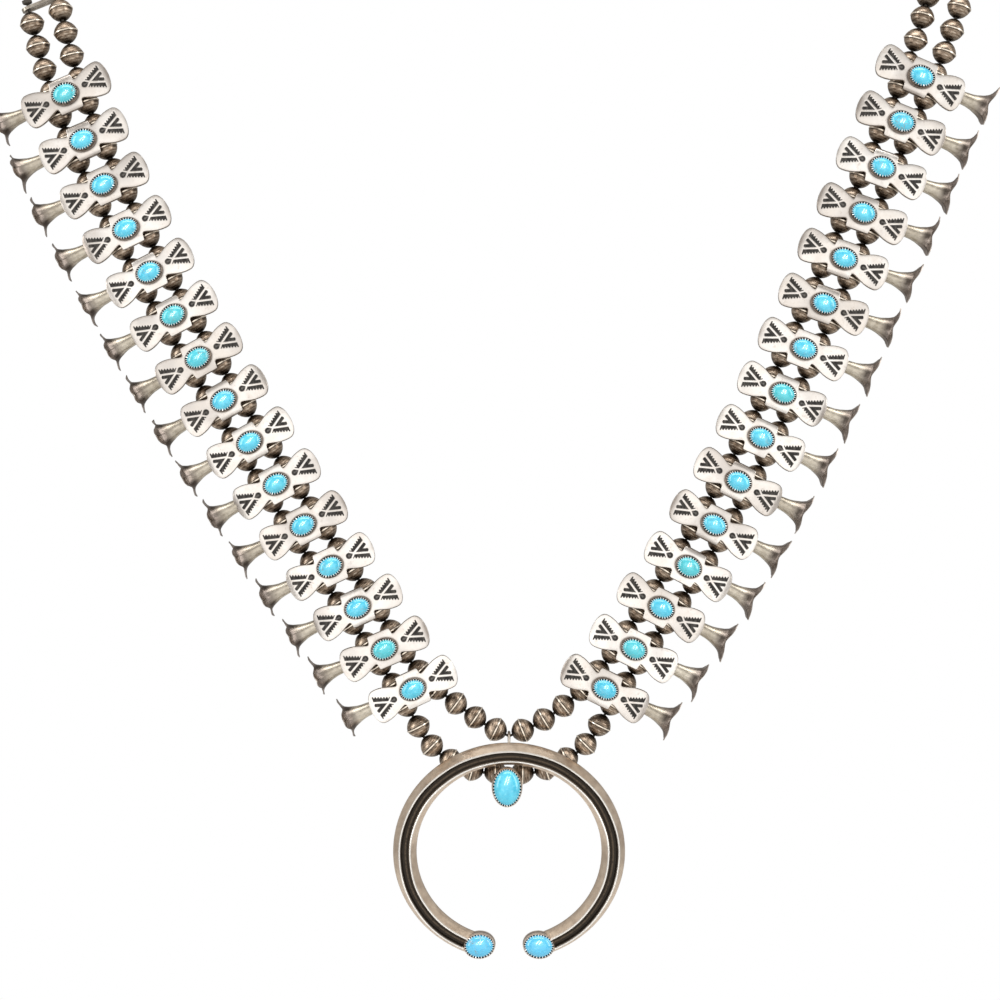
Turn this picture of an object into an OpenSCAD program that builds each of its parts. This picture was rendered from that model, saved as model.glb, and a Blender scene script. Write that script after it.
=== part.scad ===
// Squash blossom necklace, held as it hangs: two strands of silver beads carry thirty
// blossoms, with a crescent pendant and a small drop at the front and a clasp at the nape.
// Origin: the middle of the clasp at the nape. +Z up, the front faces -Y, millimetres.

/* [Beads] */
// Length of a bead along its thread
bead_length = 5.56; // [5.2:0.02:6.1]
// Width of a bead's two domes where they meet
bead_width = 6.08; // [5.6:0.02:6.2]
// How far the soldered seam stands out of the domes
seam_rise = 0.11; // [0.06:0.01:0.14]
// Width of the soldered seam along the thread
seam_length = 0.28; // [0.15:0.01:0.5]
// How far the centre of each dome's arc lies past the seam, which makes the seam stand up
dome_shift = 0.7; // [0.4:0.05:0.9]
// Width of the bore for the thread
bore_width = 1.5; // [1.3:0.05:1.8]
// Thickness of the thread
thread_width = 0.8; // [0.5:0.05:0.9]
// Room between neighbours where the strand is nearly straight
bead_gap = 0.2; // [0.11:0.01:0.25]
// Room between neighbours where the strand bends
bend_gap = 0.39; // [0.2:0.01:0.45]

/* [Strands] */
// Blossoms on each arm
blossom_count = 15; // [12:1:15]
// Beads on each strand between two blossoms
beads_between = 2; // [2:1:2]
// Beads of the inner strand from the pendant's ring to the lowest blossom
inner_low_beads = 4; // [3:1:4]
// Beads of the outer strand from the drop's ring to the lowest blossom
outer_low_beads = 6; // [5:1:6]
// Beads above the top blossom, up to the link that joins the strands
top_beads = 4; // [2:1:5]

/* [Blossom plate] */
// Length of the plate from wing to wing
plate_length = 23.4; // [22:0.1:24]
// Thickness of the plate
plate_thickness = 0.8; // [0.6:0.05:1]
// Greatest width of a wing
wing_width = 8.6; // [7.8:0.1:9.2]
// Width of a wing at its neck
neck_width = 5.2; // [5:0.1:6]
// Length of the short arms from tip to tip
arm_length = 9; // [8.2:0.1:9.6]
// Width of the short arms
arm_width = 5.9; // [5.6:0.1:6.4]
// Radius of the corners of the short arms
arm_corner = 0.4; // [0.2:0.05:0.8]
// Turn of each wing out of the line of the plate, in degrees
wing_turn = -3; // [-6:1:6]
// Room between the beads and the back of the plate
plate_gap = 0.55; // [0.45:0.05:0.8]
// Thickness of a tab, along the strand
tab_thickness = 0.5; // [0.4:0.02:0.6]
// Width of a tab across the strand
tab_width = 2.8; // [2.5:0.1:3.2]

/* [Stones and bezels] */
// Length of a blossom's stone
stone_length = 5.9; // [5.2:0.1:6.2]
// Width of a blossom's stone
stone_width = 4.5; // [4:0.1:4.8]
// Height of a blossom's stone over its plate
stone_height = 2.7; // [2.2:0.1:3]
// Height of a stone's straight side as a share of its whole height
girdle_share = 0.45; // [0.35:0.01:0.5]
// Height of a blossom's bezel over its plate
bezel_height = 1.9; // [1.6:0.1:2.2]
// Thickness of every bezel
bezel_wall = 0.45; // [0.3:0.05:0.5]
// Room round and under every stone
stone_gap = 0.13; // [0.06:0.01:0.15]

/* [Trumpet] */
// Width of the tube at the plate's edge
tube_width = 3.1; // [2.7:0.1:3.3]
// Length of tube under the plate
tube_root = 4.2; // [3.4:0.1:4.6]
// Reach of the trumpet past the plate's edge
trumpet_reach = 7.3; // [6:0.1:7.6]
// Distance of a petal's tip from the middle of the trumpet
petal_spread = 6.1; // [5.6:0.1:6.2]
// Distance of the cut between two petals from the middle of the trumpet
petal_cut = 3.5; // [2.8:0.1:4]
// Distance of a petal's broad corners from the middle of the trumpet
petal_corner = 4.5; // [4.2:0.1:5]
// Angle between a petal's tip and its broad corners, in degrees
petal_corner_angle = 26; // [22:1:34]
// Petals on each trumpet
petals = 3; // [3:1:4]
// Thickness of the trumpet's sheet
sheet = 0.4; // [0.3:0.05:0.5]

/* [Crescent pendant] */
// Width of the crescent over its outer edge
crescent_width = 57.5; // [54:0.1:60]
// Height of the crescent over its outer edge
crescent_height = 53.8; // [52:0.1:58]
// Width of the crescent's band
band_width = 5.8; // [5.2:0.1:6.2]
// Thickness of the band over its ridges
band_thickness = 3.3; // [2.8:0.1:3.8]
// Thickness of the band at its two edges
band_edge = 0.9; // [0.6:0.1:1.2]
// Depth of the channel between the ridges
channel_depth = 1.5; // [0.8:0.1:1.8]
// Distance between the two ridges
ridge_spacing = 2.6; // [2.2:0.1:3]
// Width of the flat top of a ridge
ridge_flat = 0.3; // [0.2:0.05:0.5]
// Angle left open between the ends of the band, in degrees
crescent_gap = 40; // [36:1:46]
// Angle between the two tip cups, in degrees
cup_angle = 33; // [30:1:34]
// Length of a tip stone
tip_stone_length = 6.8; // [6:0.1:7.2]
// Width of a tip stone
tip_stone_width = 5.4; // [4.8:0.1:5.8]
// Height of a tip stone over the floor of its cup
tip_stone_height = 3; // [2.6:0.1:3.4]
// Height of a tip cup's wall over its floor
tip_cup_height = 1.9; // [1.6:0.1:2.2]
// Room between the beads and the back of the pendant and the drop
pendant_gap = 0.35; // [0.3:0.05:0.6]
// Thickness of the wire of the pendant's ring
ring_wire = 0.7; // [0.6:0.05:0.8]
// Width of the pendant's ring inside
ring_bore = 4.6; // [4.2:0.1:5]

/* [Drop] */
// Width of the drop's stone
drop_stone_width = 6.5; // [6:0.1:7]
// Height of the drop's stone
drop_stone_length = 8.8; // [8:0.1:9.4]
// Thickness of the drop's stone over the floor of its cup
drop_stone_height = 3.3; // [2.8:0.1:3.6]
// Height of the drop cup's wall over its floor
drop_cup_height = 1.9; // [1.6:0.1:2.2]
// Thickness of the floor of each cup
cup_floor = 0.6; // [0.5:0.05:0.8]
// Thickness of the wire of the drop's ring
drop_ring_wire = 0.6; // [0.5:0.05:0.7]
// Width of the drop's ring inside
drop_ring_bore = 5; // [4.6:0.1:5.4]

/* [Links and clasp] */
// Thickness of the wire of the link that joins the strands
link_wire = 0.8; // [0.6:0.05:1]
// Room between a thread and the link
link_room = 0.5; // [0.3:0.05:0.7]
// Room between the link and the beads beside it
link_gap = 0.55; // [0.35:0.05:0.7]
// Length of the clasp
clasp_length = 15; // [12:0.5:18]
// Width of the clasp's cones at their wide ends
clasp_cone_width = 4.2; // [3.6:0.1:4.8]
// Length of each of the clasp's cones
clasp_cone_length = 4; // [3:0.1:4.5]
// Thickness of the clasp's wire
clasp_wire = 1.2; // [1:0.1:1.4]
// Width of the clasp's loop over its wire
clasp_loop_width = 5.4; // [4.6:0.1:6]

/* [Hidden] */
SIDES = ["left", "right"];
function blossom_name(side, k) = str("blossom_", side, k < 10 ? "_0" : "_", k);

SILVER = "silver";
OLD_SILVER = "#8a8074";
BLUE = "turquoise";

// Where the strands hang: x and z in the front plane, from the middle of the front upwards.
front = -70;
// Points behind the front plane have their own y.
ring_height = -224;
drop_height = -233;
inner_points_left = [[-6, -221], [-13, -216], [-20, -210.5], [-34.5, -189.5], [-48, -169], [-61.5, -148.5],
    [-74, -128], [-86, -107], [-97, -85.5], [-106.5, -63], [-112, -43]];
inner_points_right = [[6, -221.5], [13, -217], [20, -210.5], [34.5, -190], [47.5, -169.5], [59.5, -147.5],
    [70, -125.5], [80, -103], [89.5, -80.5], [99, -58], [104, -42]];
outer_points_left = [[-7, -233], [-14, -230.5], [-20, -226], [-24, -219], [-33.5, -204], [-47.5, -183.5],
    [-61, -162.5], [-74, -141.5], [-86.5, -120.5], [-98, -99.5], [-109, -77.5], [-116.5, -56], [-121, -38], [-122, -33]];
outer_points_right = [[7, -233], [14, -230], [20, -225.5], [24, -218.5], [33.5, -204], [47.5, -183.5],
    [60, -162], [71, -140], [81.5, -117.5], [91, -95], [100.5, -72.5], [108.5, -54], [114, -37], [115.5, -32]];
back_points_left = [[-116, -62, -26], [-113, -46, -12], [-98, -29, -4], [-72, -13, -1], [-42, -3, 0], [-18, 0, 0]];
back_points_right = [[108, -62, -27], [108, -46, -13], [95, -29, -4], [71, -13, -1], [42, -3, 0], [18, 0, 0]];

// Hand fitting, in degrees. A plate's turn on its tabs follows a slow wave up its arm: the most
// that it turns, the wave's step from a blossom to the next, and the blossom where it starts.
plate_waves = [
    [3, 28, 4],
    [4, 24, -1]];
function plate_turn(s, k) = plate_waves[s][0] * sin(plate_waves[s][1] * (k - plate_waves[s][2]));
// Each trumpet's roll, lowest blossom first. A petal faces the front on the left arm, and the
// gap between two petals on the right.
trumpet_rolls = [
    [0, 6, -6, 4, -5, 8, 0, 0, 6, 6, -4, 4, 8, -4, 5],
    [176, 186, 180, 174, 180, 188, 175, 185, 186, 176, 184, 174, 180, 184, 175]];

// The flare from the plate's edge to the petals' tips: along is the share of the reach,
// and out is the share of the way from the tube's wall to a petal's tip.
flare = [[0, 0], [0.22, 0.03], [0.41, 0.09], [0.68, 0.24], [0.82, 0.37], [0.9, 0.54], [0.96, 0.76], [1, 1]];

seam_width = bead_width + 2 * seam_rise;
bead_front = front - seam_width / 2;
plate_back = seam_width / 2 + plate_gap;
plate_front = plate_back + plate_thickness;
thread_play = 0.7;
tab_bore = thread_width + thread_play;
solder = 0.15;
tube_radius = tube_width / 2;
wing_root = 0.4;
wing_start = arm_width / 2 + wing_root;
pendant_back = bead_front - pendant_gap;
ring_room = 0.12;
// Room beside each ring, which leans on a thread that bends there.
ring_side_room = 0.6;
drop_ring_side_room = 0.3;
// The drop hangs just under the crescent's inner edge, a little left of the middle.
drop_gap = 0.5;
drop_shift = -0.5;
knot_room = 0.65;
knot_length = 1.5;
knot_end = 0.4;
link_width = thread_width + 2 * link_room + 2 * link_wire;
fine = 48;

// Curves

function heading(p, i) = (p[i + 1] - p[i]) / norm(p[i + 1] - p[i]);
function slope(p, i) =
    i == 0 ? heading(p, 0)
    : i == len(p) - 1 ? heading(p, i - 1)
    : let (before = norm(p[i] - p[i - 1]), after = norm(p[i + 1] - p[i]))
        (after * heading(p, i - 1) + before * heading(p, i)) / (before + after);
// A cubic between point i and the next one, which leaves and arrives along the slopes.
function between(p, i, t) =
    let (span = norm(p[i + 1] - p[i]))
    (1 + 2 * t) * pow(1 - t, 2) * p[i] + t * pow(1 - t, 2) * span * slope(p, i)
    + t * t * (3 - 2 * t) * p[i + 1] + t * t * (t - 1) * span * slope(p, i + 1);
function smooth(p, steps = 8) =
    concat([for (i = [0:len(p) - 2], k = [0:steps - 1]) between(p, i, k / steps)], [p[len(p) - 1]]);
// Each point of a curve with its distance from the start, as rows of distance, x, y and z.
function measured(p) =
    [for (i = 0, s = 0; i < len(p); s = s + (i < len(p) - 1 ? norm(p[i + 1] - p[i]) : 0), i = i + 1)
        [s, p[i][0], p[i][1], p[i][2]]];
function at(route, s) =
    [for (axis = [1:3]) lookup(s, [for (row = route) [row[0], row[axis]]])];
function route_length(route) = route[len(route) - 1][0];

function in_front(points) = [for (p = points) [p[0], front, p[1]]];
inner_routes = [for (s = [0, 1]) measured(smooth(concat(
    [[0, front, ring_height]],
    in_front(s == 0 ? inner_points_left : inner_points_right),
    s == 0 ? back_points_left : back_points_right,
    [[0, 0, 0]])))];
outer_routes = [for (s = [0, 1]) measured(smooth(concat(
    [[0, front, drop_height]],
    in_front(s == 0 ? outer_points_left : outer_points_right))))];

// Distances along a strand

bead_step = bead_length + bead_gap;
blossom_step = beads_between * bead_step + tab_thickness + bead_gap;
inner_start = ring_wire / 2 + ring_side_room;
outer_start = drop_ring_wire / 2 + drop_ring_side_room;
function tabs_from(start, low) = start + low * bead_length + (low - 1) * bend_gap + bead_gap + tab_thickness / 2;
function tab_place(start, low, k) = tabs_from(start, low) + k * blossom_step;
function low_beads(start, low) = [for (i = [0:low - 1]) start + bead_length / 2 + i * (bead_length + bend_gap)];
function arm_beads(start, low) =
    [for (k = [0:blossom_count - 2], i = [0:beads_between - 1])
        tab_place(start, low, k) + tab_thickness / 2 + bead_gap + bead_length / 2 + i * bead_step];
function top_start(start, low) = tab_place(start, low, blossom_count - 1) + tab_thickness / 2 + bead_gap;
function top_bead_places(start, low) =
    [for (i = [0:top_beads - 1]) top_start(start, low) + bead_length / 2 + i * (bead_length + bend_gap)];
function link_place(start, low) =
    top_start(start, low) + top_beads * (bead_length + bend_gap) - bend_gap + link_gap + link_wire / 2;
// Beads from the link to the clasp, evenly spread over the room there is.
function back_room(s) =
    route_length(inner_routes[s]) - clasp_length / 2 - back_start();
function back_start() = link_place(inner_start, inner_low_beads) + link_wire / 2 + link_gap;
function back_count(s) = floor(back_room(s) / (bead_length + bend_gap));
function back_beads(s) =
    [for (i = [0:back_count(s) - 1]) back_start() + (i + 0.5) * back_room(s) / back_count(s)];

function outer_beads_at(s) = concat(low_beads(outer_start, outer_low_beads),
    arm_beads(outer_start, outer_low_beads), top_bead_places(outer_start, outer_low_beads));
function inner_beads_at(s) = concat(low_beads(inner_start, inner_low_beads),
    arm_beads(inner_start, inner_low_beads), top_bead_places(inner_start, inner_low_beads), back_beads(s));

function inner_tab(s, k) = at(inner_routes[s], tab_place(inner_start, inner_low_beads, k));
function outer_tab(s, k) = at(outer_routes[s], tab_place(outer_start, outer_low_beads, k));
function along(route, s) = let (d = at(route, s + 1) - at(route, s - 1)) d / norm(d);

// Placing

// Stands a shape that is made along +Z on the point p, along the direction d.
module aim(p, d) {
    translate(p) rotate([0, acos(d[2]), atan2(d[1], d[0])]) children();
}

// A plate's own frame: x runs outwards along the plate, y up the arm and z to the viewer.
module on_arm(s, middle, fall) {
    translate(middle) mirror([s == 0 ? 1 : 0, 0, 0]) rotate([90, 0, 0]) rotate(-fall) children();
}

function blossom_middle(s, k) = (inner_tab(s, k) + outer_tab(s, k)) / 2;
function blossom_fall(s, k) =
    let (d = outer_tab(s, k) - inner_tab(s, k))
    atan2(-d[2], abs(d[0])) + plate_turn(s, k);

// Beads and threads

// Each dome is an arc from the seam to the rim of the bore, with its centre past the thread.
module bead() {
    r = bead_width / 2;
    rim = bore_width / 2;
    half = bead_length / 2;
    past = (rim * rim + half * half + 2 * half * dome_shift - r * r) / (2 * (r - rim));
    arc = norm([r + past, dome_shift]);
    rotate_extrude($fn = fine) {
        intersection() {
            translate([-past, dome_shift]) circle(arc, $fn = 2 * fine);
            translate([-past, -dome_shift]) circle(arc, $fn = 2 * fine);
            translate([rim, -half]) square([r, bead_length]);
        }
        translate([rim, -seam_length / 2]) square([seam_width / 2 - rim, seam_length]);
    }
}

module beads_on(route, places) {
    for (s = places) {
        a = at(route, s - bead_length / 2);
        b = at(route, s + bead_length / 2);
        aim((a + b) / 2, (b - a) / norm(b - a)) bead();
    }
}

// A tube through the points p, with one radius for each.
module tube(p, radii, sides = 6) {
    across = [0, 1, 0];
    rings = [for (i = [0:len(p) - 1])
        let (
            way = slope(p, i),
            n = across - (across * way) * way,
            u = n / norm(n),
            v = cross(way, u))
        for (k = [0:sides - 1]) p[i] + radii[i] * (cos(360 * k / sides) * u + sin(360 * k / sides) * v)];
    last = len(p) - 1;
    polyhedron(rings, concat(
        [[for (k = [0:sides - 1]) k]],
        [[for (k = [0:sides - 1]) last * sides + sides - 1 - k]],
        [for (i = [0:last - 1], k = [0:sides - 1]) [
            i * sides + k, (i + 1) * sides + k, (i + 1) * sides + (k + 1) % sides, i * sides + (k + 1) % sides]]));
}

// Places where a thread is drawn: halfway between neighbours, and at each tab.
function joints(places) = [for (i = [0:len(places) - 2]) (places[i] + places[i + 1]) / 2];
function reversed(p) = [for (i = [len(p) - 1:-1:0]) p[i]];

module outer_thread() {
    knot = (thread_width + 2 * link_room + link_wire) / 2;
    // The knot stands clear of the link, which crosses the thread at a slant.
    low = link_place(outer_start, outer_low_beads) + link_wire / 2 + knot_room;
    sides = [for (s = [0, 1])
        [for (q = concat(joints(outer_beads_at(s)),
            [low, low + knot_end, low + knot_length - knot_end, low + knot_length]))
            at(outer_routes[s], q)]];
    thick = [for (i = [1:len(sides[0]) - 3]) thread_width / 2];
    half = concat(thick, [knot, knot, thread_width / 2]);
    color(OLD_SILVER)
        tube(concat(reversed(sides[0]), [[0, front, drop_height]], sides[1]),
            concat(reversed(half), [thread_width / 2], half));
}

module inner_thread() {
    sides = [for (s = [0, 1])
        [for (q = concat(joints(inner_beads_at(s)),
            [route_length(inner_routes[s]) - clasp_length / 2, route_length(inner_routes[s]) - clasp_length / 2
                + clasp_cone_length / 2]))
            at(inner_routes[s], q)]];
    points = concat(reversed(sides[0]), [[0, front, ring_height]], sides[1]);
    color(OLD_SILVER) tube(points, [for (p = points) thread_width / 2]);
}

// Blossoms

// A wing of the plate, from the neck beside the short arms out to its rounded end.
module wing_outline() {
    tip = plate_length / 2;
    corner = 1.6;
    corner_back = 2.5;
    end_radius = 9;
    shoulder = 0.6 * tip;
    rotate(wing_turn) hull() {
        translate([wing_start, -neck_width / 2]) square([0.1, neck_width]);
        for (side = [-1, 1])
            translate([tip - corner_back, side * (wing_width / 2 - corner)]) circle(corner, $fn = 32);
        intersection() {
            translate([tip - end_radius, 0]) circle(end_radius, $fn = 64);
            translate([shoulder, -wing_width / 3]) square([tip, wing_width * 2 / 3]);
        }
    }
}

module plate() {
    translate([0, 0, plate_back]) linear_extrude(plate_thickness) {
        for (turn = [0, 180]) rotate(turn) wing_outline();
        square([2 * wing_start + 0.6, neck_width], center = true);
        for (turn = [0, 180]) rotate(turn) {
            translate([-arm_width / 2, 0]) square([arm_width, arm_length / 2 - arm_corner]);
            translate([arm_corner - arm_width / 2, 0]) square([arm_width - 2 * arm_corner, arm_length / 2]);
            for (side = [-1, 1])
                translate([side * (arm_width / 2 - arm_corner), arm_length / 2 - arm_corner])
                    circle(arm_corner, $fn = 24);
        }
    }
}

module oval(length, width) {
    scale([length / 2, width / 2]) circle(1, $fn = fine);
}

// The wall of a cup for a stone of this length and width.
module bezel(length, width, height) {
    inside = 2 * stone_gap;
    linear_extrude(height) difference() {
        oval(length + inside + 2 * bezel_wall, width + inside + 2 * bezel_wall);
        oval(length + inside, width + inside);
    }
}

// A domed stone on z = 0: a straight girdle under half of an egg shape.
module cabochon(length, width, height) {
    girdle = height * girdle_share;
    linear_extrude(girdle) oval(length, width);
    translate([0, 0, girdle]) intersection() {
        scale([length / 2, width / 2, height - girdle]) sphere(1, $fn = fine);
        translate([-length, -width, 0]) cube([2 * length, 2 * width, height]);
    }
}

module trumpet(roll) {
    out = petal_spread - tube_radius;
    outside = [for (row = flare) [tube_radius + row[1] * out, tube_root + row[0] * trumpet_reach]];
    inside = [for (row = reversed(flare))
        [tube_radius + row[1] * out - sheet * (1 - row[1]), tube_root + row[0] * trumpet_reach + sheet * row[1]]];
    share = 360 / petals;
    star = [for (k = [0:petals - 1]) each [
        [petal_spread + 0.1, k * share],
        [petal_corner, k * share + petal_corner_angle],
        [petal_cut, (k + 0.5) * share],
        [petal_corner, (k + 1) * share - petal_corner_angle]]];
    translate([plate_length / 2 - tube_root, 0, plate_back - tube_radius + solder])
        rotate([0, 90, 0]) rotate(180 + roll) intersection() {
            rotate_extrude($fn = fine)
                polygon(concat([[tube_radius, 0]], outside, inside, [[tube_radius - sheet, 0]]));
            linear_extrude(tube_root + trumpet_reach + 2 * sheet)
                polygon([for (c = star) c[0] * [cos(c[1]), sin(c[1])]]);
        }
}

// A drilled tab at the point p of a strand that runs along d, up to the back of the plate.
module tab(p, d) {
    translate(p) rotate([0, -atan2(d[2], d[0]), 0]) difference() {
        union() {
            rotate([0, 90, 0]) cylinder(h = tab_thickness, d = tab_width, center = true, $fn = fine);
            translate([-tab_thickness / 2, -plate_back - solder, -tab_width / 2])
                cube([tab_thickness, plate_back + solder, tab_width]);
        }
        rotate([0, 90, 0]) cylinder(h = 2 * tab_thickness, d = tab_bore, center = true, $fn = fine);
    }
}

module blossom(s, k) {
    color(SILVER) union() {
        on_arm(s, blossom_middle(s, k), blossom_fall(s, k)) {
            plate();
            translate([0, 0, plate_front - solder]) bezel(stone_length, stone_width, bezel_height + solder);
            trumpet(trumpet_rolls[s][k]);
        }
        tab(inner_tab(s, k), along(inner_routes[s], tab_place(inner_start, inner_low_beads, k)));
        tab(outer_tab(s, k), along(outer_routes[s], tab_place(outer_start, outer_low_beads, k)));
    }
}

module blossom_stones(s) {
    color(BLUE) for (k = [0:blossom_count - 1])
        on_arm(s, blossom_middle(s, k), blossom_fall(s, k))
            translate([0, 0, plate_front + stone_gap])
                cabochon(stone_length, stone_width, stone_height - stone_gap);
}

// Rings that hang on the threads

// The middle of a ring whose front sinks half its wire into the back of what it carries,
// and whose top rests on the thread at this height.
function ring_middle(bore, wire, height) =
    let (
        behind = front - pendant_back - (bore + wire) / 2,
        reach = (bore - thread_width) / 2 - ring_room)
    [0, front - behind, height - sqrt(reach * reach - behind * behind)];

module hanging_ring(bore, wire, height) {
    translate(ring_middle(bore, wire, height)) rotate([0, 90, 0]) rotate_extrude($fn = fine)
        translate([(bore + wire) / 2, 0]) circle(d = wire, $fn = 32);
}

// Crescent pendant

crescent_top = ring_middle(ring_bore, ring_wire, ring_height)[2] + ring_wire / 2;
crescent_middle = [0, pendant_back, crescent_top - crescent_height / 2];

module band_section() {
    outer = crescent_width / 2;
    inner = outer - band_width;
    middle = (outer + inner) / 2;
    ridge = ridge_spacing / 2;
    floor_half = ridge - ridge_flat / 2 - channel_depth / 3;
    half = [[band_width / 2, 0], [band_width / 2, band_edge], [ridge + ridge_flat / 2, band_thickness],
        [ridge - ridge_flat / 2, band_thickness], [floor_half, band_thickness - channel_depth]];
    polygon(concat(
        [for (p = half) [middle + p[0], p[1]]],
        [for (p = reversed(half)) [middle - p[0], p[1]]]));
}

// From the crescent's own frame to that of a tip cup, whose length lies slightly aslant.
module in_cup(side) {
    a = -90 + side * cup_angle / 2;
    slant = 4;
    translate([(crescent_width - band_width) / 2 * cos(a), (crescent_height - band_width) / 2 * sin(a), 0])
        rotate(-side * slant) children();
}
tip_floor = band_edge;

module on_crescent() {
    translate(crescent_middle) rotate([90, 0, 0]) children();
}

module naja() {
    color(SILVER) union() {
        on_crescent() {
            difference() {
                scale([1, crescent_height / crescent_width, 1])
                    rotate(-90 + crescent_gap / 2) rotate_extrude(angle = 360 - crescent_gap, $fn = 96) band_section();
                for (side = [-1, 1]) in_cup(side) translate([0, 0, tip_floor])
                    linear_extrude(band_thickness)
                        oval(tip_stone_length + 2 * stone_gap, tip_stone_width + 2 * stone_gap);
            }
            for (side = [-1, 1]) in_cup(side) {
                linear_extrude(tip_floor + cup_floor)
                    oval(tip_stone_length + 2 * (stone_gap + bezel_wall), tip_stone_width + 2 * (stone_gap + bezel_wall));
                translate([0, 0, tip_floor]) bezel(tip_stone_length, tip_stone_width, cup_floor + tip_cup_height);
            }
        }
        hanging_ring(ring_bore, ring_wire, ring_height);
    }
}

module naja_stone(side) {
    color(BLUE) on_crescent() in_cup(side) translate([0, 0, tip_floor + cup_floor + stone_gap])
        cabochon(tip_stone_length, tip_stone_width, tip_stone_height - stone_gap);
}

// Drop

drop_width = drop_stone_width + 2 * (stone_gap + bezel_wall);
drop_length = drop_stone_length + 2 * (stone_gap + bezel_wall);
drop_top = crescent_middle[2] + crescent_height / 2 - band_width * crescent_height / crescent_width - drop_gap;

module on_drop() {
    translate([drop_shift, pendant_back, drop_top - drop_length / 2]) rotate([90, 0, 0]) children();
}

module drop_setting() {
    color(SILVER) union() {
        on_drop() {
            linear_extrude(cup_floor) oval(drop_width, drop_length);
            bezel(drop_stone_width, drop_stone_length, cup_floor + drop_cup_height);
        }
        hanging_ring(drop_ring_bore, drop_ring_wire, drop_height);
    }
}

module drop_stone() {
    color(BLUE) on_drop() translate([0, 0, cup_floor + stone_gap])
        cabochon(drop_stone_width, drop_stone_length, drop_stone_height - stone_gap);
}

// Links and clasp

// A flat wire loop round both threads, where the outer strand ends in a knot.
module strand_link(s) {
    a = at(inner_routes[s], link_place(inner_start, inner_low_beads));
    b = at(outer_routes[s], link_place(outer_start, outer_low_beads));
    length = norm(b - a);
    color(SILVER) translate(a) rotate([0, -atan2(b[2] - a[2], b[0] - a[0]), 0])
        rotate(asin((b[1] - a[1]) / length)) linear_extrude(link_wire, center = true) difference() {
            link_outline(length, link_width);
            link_outline(length, link_width - 2 * link_wire);
        }
}

module link_outline(length, width) {
    circle(d = width, $fn = fine);
    translate([length, 0]) circle(d = width, $fn = fine);
    translate([0, -width / 2]) square([length, width]);
}

// Two drilled cones with a closed hook and eye between them, made as one plain piece.
module clasp() {
    neck = clasp_length / 2 - clasp_cone_length;
    narrow = bore_width + 0.8;
    color(SILVER) union() {
        for (side = [0, 180]) rotate(side) translate([neck, 0, 0]) rotate([0, 90, 0]) difference() {
            cylinder(h = clasp_cone_length, d1 = clasp_cone_width, d2 = narrow, $fn = fine);
            translate([0, 0, 1]) cylinder(h = clasp_cone_length, d = bore_width, $fn = fine);
        }
        linear_extrude(clasp_wire, center = true) difference() {
            translate([-neck - solder, 0]) loop_outline(2 * (neck + solder), clasp_loop_width);
            translate([clasp_wire - neck - solder, 0])
                loop_outline(2 * (neck + solder - clasp_wire), clasp_loop_width - 2 * clasp_wire);
        }
    }
}

// A long outline with round ends, from x = 0 to its length.
module loop_outline(length, width) {
    translate([width / 2, 0]) circle(d = width, $fn = fine);
    translate([length - width / 2, 0]) circle(d = width, $fn = fine);
    translate([width / 2, -width / 2]) square([length - width, width]);
}

for (s = [0, 1]) {
    color(OLD_SILVER) beads_on(outer_routes[s], outer_beads_at(s));
    color(OLD_SILVER) beads_on(inner_routes[s], inner_beads_at(s));
    blossom_stones(s);
    strand_link(s);
    for (k = [0:blossom_count - 1])
        blossom(s, k);
}
outer_thread();
inner_thread();
naja();
naja_stone(-1);  // naja_stone_left
naja_stone(1);  // naja_stone_right
drop_setting();
drop_stone();
clasp();
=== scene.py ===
"""Squash blossom necklace in stamped silver and turquoise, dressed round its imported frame.

Lengths in the code are millimetres and the meshes are metres. X runs to the viewer's right,
the front faces -Y and +Z is up.
"""

import math

import bmesh
import bpy
import numpy as np
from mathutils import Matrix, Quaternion, Vector


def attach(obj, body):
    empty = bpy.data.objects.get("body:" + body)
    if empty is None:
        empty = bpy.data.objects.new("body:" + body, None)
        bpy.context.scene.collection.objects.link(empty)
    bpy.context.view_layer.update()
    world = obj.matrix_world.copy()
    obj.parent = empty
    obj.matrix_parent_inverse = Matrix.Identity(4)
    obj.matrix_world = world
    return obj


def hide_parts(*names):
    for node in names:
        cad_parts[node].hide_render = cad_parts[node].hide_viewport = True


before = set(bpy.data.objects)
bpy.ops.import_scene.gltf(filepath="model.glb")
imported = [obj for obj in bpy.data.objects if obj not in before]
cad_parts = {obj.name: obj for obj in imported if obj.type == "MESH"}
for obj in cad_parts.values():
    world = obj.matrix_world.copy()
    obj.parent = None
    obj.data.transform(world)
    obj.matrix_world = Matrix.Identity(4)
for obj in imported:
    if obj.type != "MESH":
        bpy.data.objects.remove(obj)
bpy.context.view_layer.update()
MM = 0.001
SIDES = ("left", "right")

# Beads, plates and stones, with the frame's own sizes
FRONT = -70.0
BEAD_LENGTH, BEAD_WIDTH, SEAM_RISE = 5.56, 6.08, 0.11
BEAD_GAP, BEND_GAP, DOME_SHIFT, BORE = 0.2, 0.39, 0.7, 1.5
THREAD, TAB_PLAY = 0.8, 0.35
BLOSSOMS = 15
TAB_THICKNESS, TAB_WIDTH = 0.5, 2.8
PLATE_LENGTH, PLATE_THICKNESS, PLATE_GAP = 23.4, 0.8, 0.55
SEAM_WIDTH = BEAD_WIDTH + 2 * SEAM_RISE
PLATE_BACK = SEAM_WIDTH / 2 + PLATE_GAP
PLATE_FRONT = PLATE_BACK + PLATE_THICKNESS
STONE_LENGTH, STONE_WIDTH, STONE_HEIGHT = 5.9, 4.5, 2.57
STONE_GAP, WALL, BEZEL_HEIGHT, SOLDER = 0.13, 0.45, 2.0, 0.15
TUBE_RADIUS, TUBE_ROOT, REACH, SHEET = 1.55, 4.2, 7.3, 0.4
WING_TURN = math.radians(-3)
PENDANT_GAP = 0.35
PENDANT_BACK = FRONT - SEAM_WIDTH / 2 - PENDANT_GAP
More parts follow.
